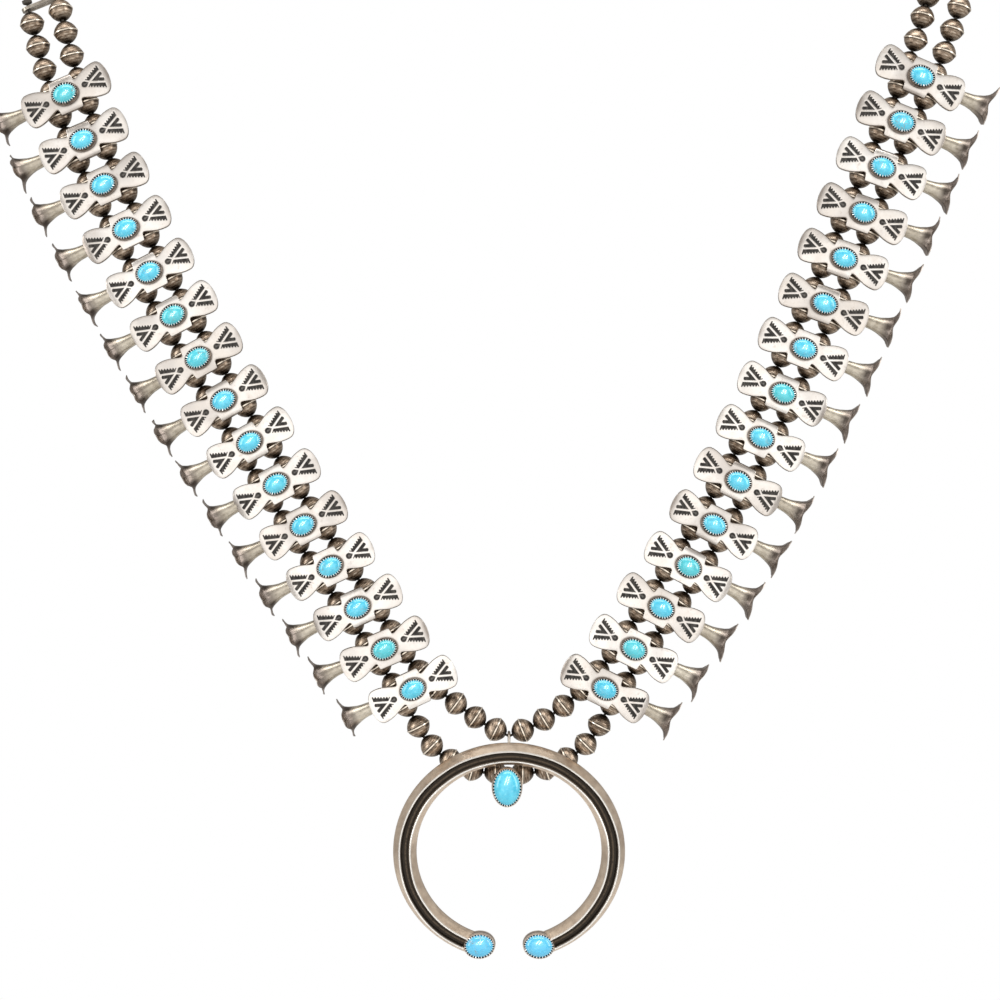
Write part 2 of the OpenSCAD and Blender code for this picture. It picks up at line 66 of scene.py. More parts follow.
LINK_WIRE, LINK_GAP = 0.8, 0.55
CLASP_LENGTH = 15.0
RING_HEIGHT, DROP_HEIGHT = -224.0, -233.0

# The strands' lines: x and z in the front plane, then x, y and z on the way to the nape.
INNER = {
    "left": [(-6, -221), (-13, -216), (-20, -210.5), (-34.5, -189.5), (-48, -169), (-61.5, -148.5),
             (-74, -128), (-86, -107), (-97, -85.5), (-106.5, -63), (-112, -43)],
    "right": [(6, -221.5), (13, -217), (20, -210.5), (34.5, -190), (47.5, -169.5), (59.5, -147.5),
              (70, -125.5), (80, -103), (89.5, -80.5), (99, -58), (104, -42)]}
OUTER = {
    "left": [(-7, -233), (-14, -230.5), (-20, -226), (-24, -219), (-33.5, -204), (-47.5, -183.5),
             (-61, -162.5), (-74, -141.5), (-86.5, -120.5), (-98, -99.5), (-109, -77.5), (-116.5, -56),
             (-121, -38), (-122, -33)],
    "right": [(7, -233), (14, -230), (20, -225.5), (24, -218.5), (33.5, -204), (47.5, -183.5),
              (60, -162), (71, -140), (81.5, -117.5), (91, -95), (100.5, -72.5), (108.5, -54),
              (114, -37), (115.5, -32)]}
NAPE = {
    "left": [(-116, -62, -26), (-113, -46, -12), (-98, -29, -4), (-72, -13, -1), (-42, -3, 0), (-18, 0, 0)],
    "right": [(108, -62, -27), (108, -46, -13), (95, -29, -4), (71, -13, -1), (42, -3, 0), (18, 0, 0)]}
# Fitting, in degrees. Each arm's wave of plate turns: its most, its step from a blossom to
# the next and the blossom where it starts. Then each trumpet's roll, lowest blossom first.
PLATE_WAVES = {"left": (3, 28, 4), "right": (4, 24, -1)}
TRUMPET_ROLLS = {
    "left": (0, 6, -6, 4, -5, 8, 0, 0, 6, 6, -4, 4, 8, -4, 5),
    "right": (176, 186, 180, 174, 180, 188, 175, 185, 186, 176, 184, 174, 180, 184, 175)}


# Strands

def plate_turn(side, k):
    """A plate's turn on its tabs in degrees, which follows a slow wave up the arm."""
    most, step, start = PLATE_WAVES[side]
    return most * math.sin(math.radians(step * (k - start)))


def smooth(points, steps=8):
    """A curve through the points. Each span is a cubic which leaves and arrives along the slope
    at its ends: the mean of the headings on both sides, each weighted by the other's length."""
    p = np.asarray(points, float)
    span = np.diff(p, axis=0)
    length = np.linalg.norm(span, axis=1)[:, None]
    heading = span / length
    slope = np.vstack([heading[:1], (length[1:] * heading[:-1] + length[:-1] * heading[1:])
                       / (length[:-1] + length[1:]), heading[-1:]])
    t = (np.arange(steps) / steps)[None, :, None]
    a, b, reach = p[:-1, None], p[1:, None], length[:, None]
    rows = ((1 + 2 * t) * (1 - t) ** 2 * a + t * (1 - t) ** 2 * reach * slope[:-1, None]
            + t * t * (3 - 2 * t) * b + t * t * (t - 1) * reach * slope[1:, None])
    return np.vstack([rows.reshape(-1, 3), p[-1:]])


class Strand:
    """The line of a strand, read by the distance from its start at the middle of the front."""

    def __init__(self, points):
        self.points = smooth(points)
        steps = np.linalg.norm(np.diff(self.points, axis=0), axis=1)
        self.places = np.concatenate([[0], np.cumsum(steps)])
        self.length = self.places[-1]

    def at(self, s):
        return np.stack([np.interp(s, self.places, self.points[:, k]) for k in range(3)], -1)

    def along(self, s):
        way = self.at(s + 1) - self.at(s - 1)
        return way / np.linalg.norm(way, axis=-1, keepdims=True)


def in_front(points):
    return [(x, FRONT, z) for x, z in points]


inner = {s: Strand([(0, FRONT, RING_HEIGHT)] + in_front(INNER[s]) + NAPE[s] + [(0, 0, 0)]) for s in SIDES}
outer = {s: Strand([(0, FRONT, DROP_HEIGHT)] + in_front(OUTER[s])) for s in SIDES}
# Where the first bead of each side starts, and how many beads hang below and above the blossoms.
INNER_START, OUTER_START = 0.95, 0.6
INNER_LOW, OUTER_LOW, TOP_BEADS = 4, 6, 4
BEAD_STEP = BEAD_LENGTH + BEAD_GAP
BEND_STEP = BEAD_LENGTH + BEND_GAP
BLOSSOM_STEP = 2 * BEAD_STEP + TAB_THICKNESS + BEAD_GAP


def tab_place(start, low, k):
    """The distance to blossom k's tab: the low beads and their gaps, then whole blossom steps."""
    return start + low * BEAD_LENGTH + (low - 1) * BEND_GAP + BEAD_GAP + TAB_THICKNESS / 2 + k * BLOSSOM_STEP


def link_place(start, low):
    top = tab_place(start, low, BLOSSOMS - 1) + TAB_THICKNESS / 2 + BEAD_GAP
    return top + TOP_BEADS * BEND_STEP - BEND_GAP + LINK_GAP + LINK_WIRE / 2


def bead_places(start, low, strand=None):
    """Distances of the beads: the low ones, two after each tab, the top ones, and where a strand
    is given also those from the link to the clasp, which share the room there evenly."""
    half = BEAD_LENGTH / 2
    places = [start + half + np.arange(low) * BEND_STEP]
    after = TAB_THICKNESS / 2 + BEAD_GAP + half
    tabs = tab_place(start, low, np.arange(BLOSSOMS - 1))
    places.append((tabs[:, None] + after + np.arange(2) * BEAD_STEP).ravel())
    places.append(tab_place(start, low, BLOSSOMS - 1) + after + np.arange(TOP_BEADS) * BEND_STEP)
    if strand:
        back = link_place(start, low) + LINK_WIRE / 2 + LINK_GAP
        room = strand.length - CLASP_LENGTH / 2 - back
        count = int(room // BEND_STEP)
        places.append(back + (np.arange(count) + 0.5) * room / count)
    return np.concatenate(places)


# Meshes

MADE = {}


class Silversmith:
    """Gathers surfaces into one mesh. Each point keeps its place on its own piece in millimetres,
    and a tone that sets one copy apart from the next."""

    def __init__(self):
        self.points, self.faces, self.places, self.tones, self.finishes = [], [], [], [], []
        self.count = 0

    def add(self, points, faces, place=None, tone=0.0, finish=0):
        """Takes one closed surface. Its faces are turned round where the volume they hold, the sum of
        the triple products of their corners, comes out negative."""
        points = points.reshape(-1, 3)
        place = points if place is None else place.reshape(-1, 3)
        corner = points[faces] - points.mean(0)
        held = sum(np.einsum("ij,ij->", corner[:, 0], np.cross(corner[:, k], corner[:, k + 1])) for k in (1, 2))
        faces = faces if held > 0 else faces[:, ::-1]
        self.points.append(points)
        self.faces.append(faces + self.count)
        self.places.append(place)
        self.tones.append(np.full(len(points), tone))
        self.finishes.append(np.full(len(faces), finish))
        self.count += len(points)

    def made(self, name, looks, body="strands", nodes=(), slot=None, sharp=38):
        points = np.concatenate(self.points) * MM
        faces = np.concatenate(self.faces)
        mesh = bpy.data.meshes.new(name)
        mesh.from_pydata(points.tolist(), [], faces.tolist())
        mesh.polygons.foreach_set("material_index", np.concatenate(self.finishes).astype(np.int32))
        place = mesh.attributes.new("place", "FLOAT_VECTOR", "POINT")
        place.data.foreach_set("vector", np.concatenate(self.places).astype(np.float32).ravel())
        tone = mesh.attributes.new("tone", "FLOAT", "POINT")
        tone.data.foreach_set("value", np.concatenate(self.tones).astype(np.float32))
        for look in looks:
            mesh.materials.append(look.material)
        # Poles and seams share their points here, so that every shell is closed.
        shell = bmesh.new()
        shell.from_mesh(mesh)
        bmesh.ops.remove_doubles(shell, verts=shell.verts, dist=2e-7)
        bmesh.ops.dissolve_degenerate(shell, edges=shell.edges, dist=1e-8)
        shell.to_mesh(mesh)
        shell.free()
        mesh.polygons.foreach_set("use_smooth", np.ones(len(mesh.polygons), bool))
        mesh.set_sharp_from_angle(angle=math.radians(sharp))
        piece = bpy.data.objects.new(name, mesh)
        bpy.context.scene.collection.objects.link(piece)
        MADE[name] = piece
        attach(piece, body)
        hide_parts(*nodes)
        return piece


def quads(rows, columns, round_rows=False, round_columns=False, copies=1):
    """Faces of a grid of points, which may close on itself either way, for each of its copies."""
    r = np.arange(rows if round_rows else rows - 1)[:, None]
    c = np.arange(columns if round_columns else columns - 1)[None, :]
    below, beside = (r + 1) % rows, (c + 1) % columns
    face = np.stack(np.broadcast_arrays(
        r * columns + c, below * columns + c, below * columns + beside, r * columns + beside), -1).reshape(-1, 4)
    return (face[None] + np.arange(copies)[:, None, None] * rows * columns).reshape(-1, 4)


def turned(points, axis, degrees):
    """Points turned about x, y or z."""
    a = np.radians(degrees)
    c, s = np.cos(a), np.sin(a)
    out = np.array(points, float)
    i, j = {"x": (1, 2), "y": (2, 0), "z": (0, 1)}[axis]
    out[..., i] = points[..., i] * c - points[..., j] * s
    out[..., j] = points[..., i] * s + points[..., j] * c
    return out


# Beads

def dome(z):
    """The radius of a bead at z: an arc from the seam to the rim of the bore, which is centred
    past the thread and past the seam, so that the two halves meet at an angle."""
    r, rim, half = BEAD_WIDTH / 2, BORE / 2, BEAD_LENGTH / 2
    past = (rim * rim + half * half + 2 * half * DOME_SHIFT - r * r) / (2 * (r - rim))
    arc = math.hypot(r + past, DOME_SHIFT)
    return np.sqrt(arc * arc - (np.abs(z) + DOME_SHIFT) ** 2) - past


def bead_profile():
    """Half a bead from the seam to its bore, as rows of z and radius, then the other half."""
    z = np.array([0.0, 0.14, 0.2, 0.5, 1.0, 1.5, 2.0, 2.4, 2.66, 2.74])
    r = dome(z)
    r[:2] = SEAM_WIDTH / 2 - 0.02, SEAM_WIDTH / 2 - 0.04
    r[2] -= 0.03
    z = np.append(z, [BEAD_LENGTH / 2, BEAD_LENGTH / 2 - 0.5])
    r = np.append(r, [BORE / 2, BORE / 2 - 0.08])
    return np.concatenate([-z[:0:-1], z]), np.concatenate([r[:0:-1], r])


def beads(name, strand, places, seed, looks):
    """Every bead of a strand: its profile turned about the thread, in a frame that the thread's
    way gives, with a small turn, a slight slant and its own width and tone from hand work."""
    random = np.random.default_rng(seed)
    n, sides = len(places), 18
    ends = strand.at(places - BEAD_LENGTH / 2), strand.at(places + BEAD_LENGTH / 2)
    middle = (ends[0] + ends[1]) / 2
    way = ends[1] - ends[0]
    way = way / np.linalg.norm(way, axis=1)[:, None] + random.normal(0, 0.008, (n, 3))
    way /= np.linalg.norm(way, axis=1)[:, None]
    u = np.cross(way, [0, 1, 0])
    u /= np.linalg.norm(u, axis=1)[:, None]
    v = np.cross(way, u)
    z, r = bead_profile()
    a = np.arange(sides) * 2 * np.pi / sides
    wide = 1 + random.uniform(-0.012, 0.004, n)
    spin = random.uniform(0, 2 * np.pi, n)
    turn = a[None, None, :] + spin[:, None, None]
    radius = r[None, :, None] * wide[:, None, None]
    x, y = radius * np.cos(turn), radius * np.sin(turn)
    points = (middle[:, None, None] + way[:, None, None] * z[None, :, None, None]
              + u[:, None, None] * x[..., None] + v[:, None, None] * y[..., None])
    place = np.stack(np.broadcast_arrays(x, y, z[None, :, None]), -1)
    work = Silversmith()
    faces = quads(len(z), sides, True, True, n)
    work.add(points, faces, place)
    work.tones = [np.repeat(random.uniform(-1, 1, n), len(z) * sides)]
    return work.made(name, looks, nodes=[name], slot="antiqued_silver", sharp=24)


# Blossoms

# Half the width of the plate at each distance from its middle.
OUTLINE_X = (0, 2.5, 2.75, 2.9, 2.97, 3.05, 3.2, 3.5, 4, 5, 6, 7, 8, 9, 9.8, 10.4, 10.9, 11.25,
             11.5, 11.62, 11.7)
OUTLINE_W = (4.5, 4.5, 4.46, 4.3, 4.0, 3.3, 2.8, 2.6, 2.7, 3.15, 3.6, 3.97, 4.2, 4.3, 4.25, 3.95, 3.4, 2.7,
             1.85, 1.1, 0)


def on_arm(points, side, middle, fall):
    """From a plate's own frame to the necklace's: turned by its fall, mirrored on the left arm,
    and stood up, so that the plate's z faces the front."""
    a = np.radians(fall)
    x = points[..., 0] * np.cos(a) + points[..., 1] * np.sin(a)
    y = points[..., 1] * np.cos(a) - points[..., 0] * np.sin(a)
    mirror = -1 if side == "left" else 1
    return np.stack([middle[0] + mirror * x, middle[1] - points[..., 2], middle[2] + y], -1)


def part(value, low, high):
    """0 below low, 1 above high and a straight line between."""
    if isinstance(value, Value):
        return value.part(low, high)
    return np.clip((value - low) / (high - low), 0, 1)


def least(a, b):
    return a.least(b) if isinstance(a, Value) else np.minimum(a, b)


def most(a, b):
    return a.most(b) if isinstance(a, Value) else np.maximum(a, b)


def wave(a):
    return a.wave() if isinstance(a, Value) else np.cos(a)


def punch(u, v, start, end):
    """Distances along the line from start to end, and to its left."""
    dx, dy = end[0] - start[0], end[1] - start[1]
    length = math.hypot(dx, dy)
    dx, dy = dx / length, dy / length
    return (u - start[0]) * dx + (v - start[1]) * dy, (v - start[1]) * dx - (u - start[0]) * dy


def stamps(u, v, soft):
    """How strongly the blackened stamps show at a place of a wing, from 0 to 1, where u runs out
    along the plate and v across it. Four marks leave a cross of bright lines between them, the
    same on both sides of the wing's own middle: a drop, a leaf of two strokes that open outwards,
    and on each side a comb whose teeth face away from the leaf."""
    t = u * math.cos(WING_TURN) + v * math.sin(WING_TURN)
    w = abs(v * math.cos(WING_TURN) - u * math.sin(WING_TURN) + 0.12)

    def inside(d):
        return 1 - part(d, 0.08 - soft, 0.08 + soft)

    along, off = punch(t, w, (6.75, 0.4), (10.1, 1.85))
    tooth = part(wave((along + 0.4) * (2 * math.pi / 0.71)), -0.9, 0.4)
    comb = most(off - 0.52 - along * 0.06 - tooth * 0.34, -off)
    comb = most(comb, most(-along - off * 0.5, along - off * 0.3 - 3.65))
    along, off = punch(t, w, (7.44, 0.0), (10.1, 1.2))
    leaf = most(most(off, -off - 0.68), along + (off + 0.34) ** 2 - 2.95)
    from_middle = ((least(t, 5.5) - 5.32) ** 2 + w ** 2) ** 0.5
    drop = most(from_middle - 0.68, (w + t * 0.85 - 5.4) * 0.75)
    core = 1 - inside(from_middle - 0.16) * 0.12
    return most(most(inside(comb), inside(leaf)), inside(drop) * core)


def plate(side, middle, fall, random):
    """A blossom's plate: across it, a loop over the top, round the rim and back under; along it,
    the outline's half widths. The stamps sink into the top, the edges sag back a little, and a
    slow wave keeps it from being quite flat."""
    wing = np.arange(4.4, 11.2, 0.17)
    x = np.concatenate([[0, 0.8, 1.6, 2.3, 2.75, 2.9, 2.97, 3.05, 3.2, 3.5, 3.9], wing,
                        [11.25, 11.4, 11.5, 11.57, 11.62, 11.67, 11.7]])
    x = np.concatenate([-x[:0:-1], x])
    w = np.interp(np.abs(x), OUTLINE_X, OUTLINE_W)
    slow = random.uniform(0, 2 * np.pi, 2)
    top, edge, thick = np.linspace(-1, 1, 45), 0.18, PLATE_THICKNESS
    # Rows of the loop: share of the half width, what the rim adds to it, and depth from the top.
    share = np.concatenate([top, [1, 1, 1, 0.6, 0, -0.6, -1, -1, -1]])[:, None]
    rim = np.concatenate([np.where(np.abs(top) == 1, -edge * top, 0), [0, 0, -edge, 0, 0, 0, edge, 0, 0]])[:, None]
    deep = np.concatenate([0 * top, [edge, thick - edge, thick, thick, thick, thick, thick, thick - edge, edge]])
    deep = deep[:, None]
    X = np.broadcast_to(x[None, :], (len(share), len(x)))
    shear = math.tan(WING_TURN) * X * part(np.abs(X), 2.9, 3.6)
    Y = share * w + rim * np.minimum(1, w / 0.4) + shear
    u, v = np.abs(X), Y * np.where(X < 0, -1.0, 1.0)
    on_top = np.arange(len(share))[:, None] < len(top)
    sunk = part(stamps(u, v, 0.16), 0.45, 1.0) * 0.1 * on_top
    far = np.maximum(0, u - 4) / 7.7
    near_edge = np.exp(-np.minimum((1 - np.abs(share)) * w, PLATE_LENGTH / 2 - u) / 0.35)
    sag = 0.22 * far ** 2 + 0.1 * (Y / 4.5) ** 2 + 0.08 * near_edge
    bow = 0.05 * np.sin(0.55 * X + slow[0]) * np.sin(0.6 * Y + slow[1])
    # Some ends of the arms and wings are bent back further, each by its own amount.
    ends = np.maximum(0, random.uniform(-0.25, 0.5, 4))
    bent = sum(by * part(way, start, end) ** 2 * (u < until) for by, way, start, end, until in zip(
        ends, (Y, -Y, X, -X), (2.9, 2.9, 9.2, 9.2), (4.5, 4.5, 11.7, 11.7), (3.3, 3.3, 12, 12)))
    points = np.stack([X, Y, PLATE_FRONT - deep - sunk - sag - bent + bow], -1)
    # The place's third number is the depth from the top, with painted shade and dark reflection added near the edges
    # and on the bent ends.
    place = np.stack([X, Y, deep + 0.1 * np.clip(near_edge + bent / 0.3, 0, 1)], -1)
    return on_arm(points, side, middle, fall), quads(len(share), len(x), True), place


BLOSSOM_TEETH, TIP_TEETH, DROP_TEETH = 28, 30, 36
BEZEL_SUNK = 0.1
MIDDLE = -1.0


def rim_of_teeth(length, width, floor, top, teeth, random, wall=WALL, gap=STONE_GAP, base=None):
    """A bezel as a loop carried round an oval: up the outside, over teeth that a wave round the
    oval cuts and that lean in over the stone, and down the inside. Where base is given the loop
    runs on to the middle, under the stone and under the cup, which closes it as one shell."""
    count = teeth * 6
    a = np.arange(count) * 2 * np.pi / count
    beat = np.cos(teeth * a + 0.5 * np.sin(3 * a + random.uniform(0, 6)))
    tooth = np.clip(0.25 + 1.1 * beat, 0, 1)
    inside, outside, low = gap, gap + wall, floor + 0.4 * (top - floor)
    # Rows of the loop: distance out from the stone's edge, and height.
    rows = [(outside, floor), (outside - 0.02, low), (outside - 0.08, top - 0.6), (outside - 0.2, top - 0.22),
            (inside + 0.14, top - 0.1 * (1 - tooth)),
            (inside + 0.02 - 0.44 * tooth, top - 0.5 * (1 - tooth)),
            (inside - 0.02 - 0.36 * tooth, top - 0.16 - 0.5 * (1 - tooth)), (inside, low)]
    if base is None:
        rows.append((inside, floor))
    else:
        rows += [(inside, floor + base), (MIDDLE, floor + base), (MIDDLE, floor), (outside - 0.1, floor)]
    out, z = (np.array([np.broadcast_to(row[k], count) for row in rows]) for k in (0, 1))
    x = np.where(out == MIDDLE, 0, (length / 2 + out) * np.cos(a))
    y = np.where(out == MIDDLE, 0, (width / 2 + out) * np.sin(a))
    place = np.stack([np.broadcast_to(a * 3, out.shape), out, z - top], -1)
    return np.stack([x, y, z], -1), quads(len(rows), count, True, True), place


def cabochon(length, width, floor, height, count=44):
    """A polished stone: an upright girdle under half an egg, closed below by a flat base."""
    girdle = height * 0.42
    lean = np.linspace(0, np.pi / 2, 12)
    rows = [(0.0, 0.0), (0.97, 0.0), (1.0, 0.06), (1.0, 0.5 * girdle)]
    rows += [(math.cos(t) ** 0.92 if t < 1.57 else 0.0, girdle + (height - girdle) * math.sin(t)) for t in lean]
    a = np.arange(count) * 2 * np.pi / count
    share = np.array([r[0] for r in rows])[:, None]
    z = np.array([r[1] for r in rows])[:, None] + floor
    x = length / 2 * share * np.cos(a)
    y = width / 2 * share * np.sin(a)
    points = np.stack(np.broadcast_arrays(x, y, z), -1)
    return points, quads(len(rows), count, False, True)


# The flare: the share of the way out to a petal's tip at each share of the reach.
FLARE_OUT = (0, 0.03, 0.09, 0.24, 0.37, 0.54, 0.76, 1)
FLARE_ALONG = (0, 0.22, 0.41, 0.68, 0.82, 0.9, 0.96, 1)

# The star that the petals make, as distances from the tube's middle at angles from a petal's tip.
STAR = ((6.1, 0), (4.5, 26), (3.5, 60))


def trumpet(roll, random, petals=3):
    """The flared tube: round it, the edge of the star, a straight line from corner to corner;
    along it, the tube and then the flare out to that edge, doubled back inside at the sheet's
    thickness. Each petal is pressed to a shallow keel along its middle and bent by its own amount."""
    half = np.array([0, 5, 10, 15, 19, 23, 26, 32, 38, 44, 50, 55])
    petal = np.concatenate([half, [60], 120 - half[:0:-1]])
    a = np.radians((petal + 120 * np.arange(petals)[:, None]).ravel())
    turn = np.mod(a, 2 * np.pi / petals)
    turn = np.minimum(turn, 2 * np.pi / petals - turn)
    edge = np.full(len(a), STAR[0][0])
    for (r1, a1), (r2, a2) in zip(STAR, STAR[1:]):
        a1, a2 = math.radians(a1), math.radians(a2)
        line = r1 * r2 * math.sin(a2 - a1) / (r1 * np.sin(turn - a1) + r2 * np.sin(a2 - turn))
        edge = np.where(turn >= a1, line, edge)
    spread = STAR[0][0] - TUBE_RADIUS
    out = np.concatenate([[0, 0, 0], np.linspace(0, 1, 16)[1:]])[:, None] * (edge - TUBE_RADIUS) / spread
    along = TUBE_ROOT + REACH * np.interp(out, FLARE_OUT, FLARE_ALONG)
    along[:3] = TUBE_ROOT * np.array([0, 0.45, 0.9])[:, None]
    radius = TUBE_RADIUS + out * spread
    keel = np.exp(-(turn / 0.14) ** 2) * part(out, 0.1, 0.3)
    bends = random.uniform(-0.7, 0.25, petals)
    # The petal that faces the viewer on the left arm is bent back furthest.
    bends[0] -= 0.6
    bent = bends[((a / (2 * np.pi / petals)) + 0.5).astype(int) % petals]
    along = along + bent * part(out, 0.35, 1.0) ** 2 - 0.25 * keel
    r = np.concatenate([radius, (radius - SHEET * (1 - out) - 0.05 * out)[::-1]])
    s = np.concatenate([along, (along + 0.26 * out)[::-1]])
    deep = np.concatenate([out, out[::-1]])
    # The tip at no roll points to the viewer.
    angle = a + math.radians(180 + roll) + random.uniform(-0.07, 0.07) * deep ** 2
    points = np.stack([PLATE_LENGTH / 2 - TUBE_ROOT + s, r * np.sin(angle),
                       PLATE_BACK - TUBE_RADIUS + SOLDER - r * np.cos(angle)], -1)
    place = np.stack([s, np.broadcast_to(turn, r.shape), deep], -1)
    return points, quads(len(r), len(a), True, True), place


def tab(point, way):
    """A drilled tab: a loop from its bore out to its edge and back behind, carried round an
    outline that is round below the thread and straight up to the plate above it."""
    tall, half = PLATE_BACK + 0.1, TAB_WIDTH / 2
    corner = math.degrees(math.atan2(tall, half))
    a = np.radians([0, 20, 45, corner, 80, 90, 100, 180 - corner, 135, 160, 180,
                    202, 225, 247, 270, 293, 315, 338])
    c, s = np.cos(a), np.sin(a)
    with np.errstate(divide="ignore"):
        reach = np.where(s > 0, np.minimum(half / np.maximum(np.abs(c), 1e-6), tall / np.maximum(s, 1e-6)), half)
    bore = THREAD / 2 + TAB_PLAY
    t = TAB_THICKNESS / 2
    rows = [(bore, -t), (reach - 0.08, -t), (reach, 0.08 - t), (reach, t - 0.08), (reach - 0.08, t), (bore, t)]
    points = np.array([np.stack(np.broadcast_arrays(z, r * s, r * c), -1) for r, z in rows])
    # x runs along the thread, y to the plate and z across.
    x, z = np.array([way[0], 0, way[2]]), np.array([-way[2], 0, way[0]])
    x, z = x / np.linalg.norm(x), z / np.linalg.norm(z)
    placed = point + points[..., :1] * x + points[..., 1:2] * np.array([0, -1, 0]) + points[..., 2:] * z
    return placed, quads(len(rows), len(a), True, True), points


# Pendant and drop

CRESCENT_WIDTH, CRESCENT_HEIGHT, BAND, BAND_EDGE = 57.5, 53.8, 5.8, 0.9
CUP_ANGLE, CUP_SLANT, CUP_FLOOR = 16.5, 4.0, 0.6
TIP_STONE = (6.8, 5.4, 3.0)
DROP_STONE = (6.5, 8.8, 3.3)
CUP_WALL, CUP_RISE = 1.9, 0.03
RING = (4.6, 0.7, RING_HEIGHT)
DROP_RING = (5.0, 0.6, DROP_HEIGHT)
DROP_GAP, DROP_SHIFT = 0.5, -0.5


def ring_middle(bore, wire, height):
    """The middle of a ring that rests on a thread at this height and sinks half its wire's
    thickness into the back of what it carries."""
    behind = FRONT - PENDANT_BACK - (bore + wire) / 2
    reach = (bore - THREAD) / 2 - 0.12
    return np.array([0, FRONT - behind, height - math.sqrt(reach * reach - behind * behind)])


CRESCENT_Z = ring_middle(*RING)[2] + RING[1] / 2 - CRESCENT_HEIGHT / 2
DROP_SIZE = DROP_STONE[1] + 2 * (STONE_GAP + WALL)
DROP_Z = CRESCENT_Z + CRESCENT_HEIGHT / 2 - BAND * CRESCENT_HEIGHT / CRESCENT_WIDTH - DROP_GAP - DROP_SIZE / 2


def standing(points, x, z):
    """From a frame whose z faces the viewer to the necklace's, at this place on the pendant's back."""
    return np.stack([x + points[..., 0], PENDANT_BACK - points[..., 2], z + points[..., 1]], -1)


def ring(bore, wire, height):
    """A ring: a small circle carried round a large one, whose axis is x."""
    a = (np.arange(40) * np.pi / 20)[:, None]
    b = (np.arange(12) * np.pi / 6)[None, :]
    reach = (bore + wire) / 2 + wire / 2 * np.cos(b)
    points = np.stack(np.broadcast_arrays(wire / 2 * np.sin(b), reach * np.cos(a), reach * np.sin(a)), -1)
    return points + ring_middle(bore, wire, height), quads(40, 12, True, True), points


def in_cup(points, side):
    """From a tip cup's frame to the crescent's: turned by its slant and moved to its place."""
    a = math.radians(-90 + side * CUP_ANGLE)
    middle = ((CRESCENT_WIDTH - BAND) / 2 * math.cos(a), (CRESCENT_HEIGHT - BAND) / 2 * math.sin(a), 0)
    return turned(points, "z", -side * CUP_SLANT) + middle


def band_section():
    """The band's section as a closed line of distances from its middle and heights: an upright
    edge, a flank up to a narrow ridge, and a channel with steep walls between the ridges."""
    half = np.array([(2.9, 0.0), (2.9, 0.72), (2.8, 0.93), (2.2, 1.95), (1.55, 3.08), (1.44, 3.26), (1.3, 3.31),
                     (1.16, 3.24), (1.05, 3.0), (0.78, 2.2), (0.62, 1.86), (0.3, 1.8)])
    return np.concatenate([half, half[::-1] * [-1, 1]])


def band():
    """The crescent's band: its section carried round an ellipse. The channel lies nearer the
    opening at the top and nearer the outside at the tips, and each line of the section ends
    where it meets the wall of a tip cup."""
    section = band_section()
    middle, squash = (CRESCENT_WIDTH - BAND) / 2, CRESCENT_HEIGHT / CRESCENT_WIDTH
    fine = np.radians(np.arange(-70, -50, 0.05))
    spot = np.stack([(middle + section[:, :1]) * np.cos(fine), (middle + section[:, :1]) * np.sin(fine) * squash,
                     np.zeros((len(section), len(fine)))], -1)
    cup = in_cup(np.zeros(3), 1)
    local = turned(spot - cup, "z", CUP_SLANT)
    grown = 2 * STONE_GAP + WALL
    within = np.hypot(local[..., 0] * 2 / (TIP_STONE[0] + grown), local[..., 1] * 2 / (TIP_STONE[1] + grown)) < 1
    last = np.where(within.any(1), len(fine) - within[:, ::-1].argmax(1), 0)
    end = fine[np.minimum(len(fine) - 1, last)][:, None]
    a = end + (np.pi - 2 * end) * np.linspace(0, 1, 161)
    uneven = 0.05 * np.sin(5 * a + 1) + 0.03 * np.sin(13 * a) - 0.55 * np.sin(a)
    across = section[:, :1] + uneven * (np.abs(section[:, :1]) < 2)
    x, y = (middle + across) * np.cos(a), (middle + across) * np.sin(a) * squash
    high = np.broadcast_to(section[:, 1:], x.shape)
    points = np.stack([x, y, high], -1)
    place = np.stack([np.broadcast_to(section[:, :1], x.shape), high, a * middle], -1)
    caps = [np.broadcast_to(points[:, k].mean(0), (len(section), 1, 3)) for k in (0, -1)]
    points = np.concatenate([caps[0], points, caps[1]], 1)
    place = np.concatenate([place[:, :1], place, place[:, -1:]], 1)
    return points, quads(len(section), points.shape[1], True, False), place


# Looks

class Value:
    """A number that varies over a surface. Sums, products and comparisons add their Math nodes."""

    def __init__(self, look, socket):
        self.look, self.socket = look, socket

    def _math(self, operation, a, b=None, clamp=False):
        values = {"Value": a} if b is None else {"Value": a, "Value_001": b}
        settings = {"operation": operation, "use_clamp": clamp}
        return Value(self.look, self.look.node("ShaderNodeMath", settings, values))

    def __add__(self, other):
        return self._math("ADD", self, other)

    def __sub__(self, other):
        return self._math("SUBTRACT", self, other)

    def __rsub__(self, other):
        return self._math("SUBTRACT", other, self)

    def __mul__(self, other):
        return self._math("MULTIPLY", self, other)

    def __truediv__(self, other):
        return self._math("DIVIDE", self, other)

    def __pow__(self, other):
        return self._math("POWER", self, other)

    def __neg__(self):
        return self._math("MULTIPLY", self, -1.0)

    def __abs__(self):
        return self._math("ABSOLUTE", self)

    __radd__, __rmul__ = __add__, __mul__

    def least(self, other):
        return self._math("MINIMUM", self, other)

    def most(self, other):
        return self._math("MAXIMUM", self, other)

    def wave(self):
        return self._math("COSINE", self)

    def part(self, low, high):
        """0 below low, 1 above high and a straight line between."""
        return self._math("DIVIDE", self - low, high - low, clamp=True)


